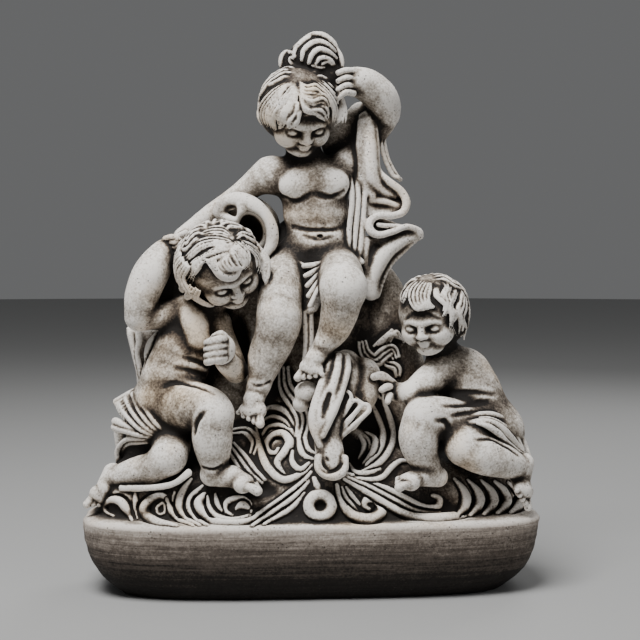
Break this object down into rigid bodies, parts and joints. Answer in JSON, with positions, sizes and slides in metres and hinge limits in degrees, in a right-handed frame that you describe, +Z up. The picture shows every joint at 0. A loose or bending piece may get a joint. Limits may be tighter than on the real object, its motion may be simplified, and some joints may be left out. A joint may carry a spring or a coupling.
{
  "type": "garden statue",
  "caption": "Cast concrete garden statue of angelic children around a downward-facing dolphin, over carved water scrolls on a boat-shaped plinth.",
  "frame": {"origin": "middle of the flat underside of the plinth", "axes": "+Z up, +X to the viewer's right along the plinth's long side, +Y from the carved front to the plain back"},
  "size_m": [0.454, 0.19, 0.5506],
  "materials": {
    "concrete": "weathered cast concrete: pale dry-brushed ridges, dark wash in the recesses, small air-bubble pits, matte"
  },
  "bodies": {
    "root": {"angel_statue": "concrete"}
  },
  "joints": []
}
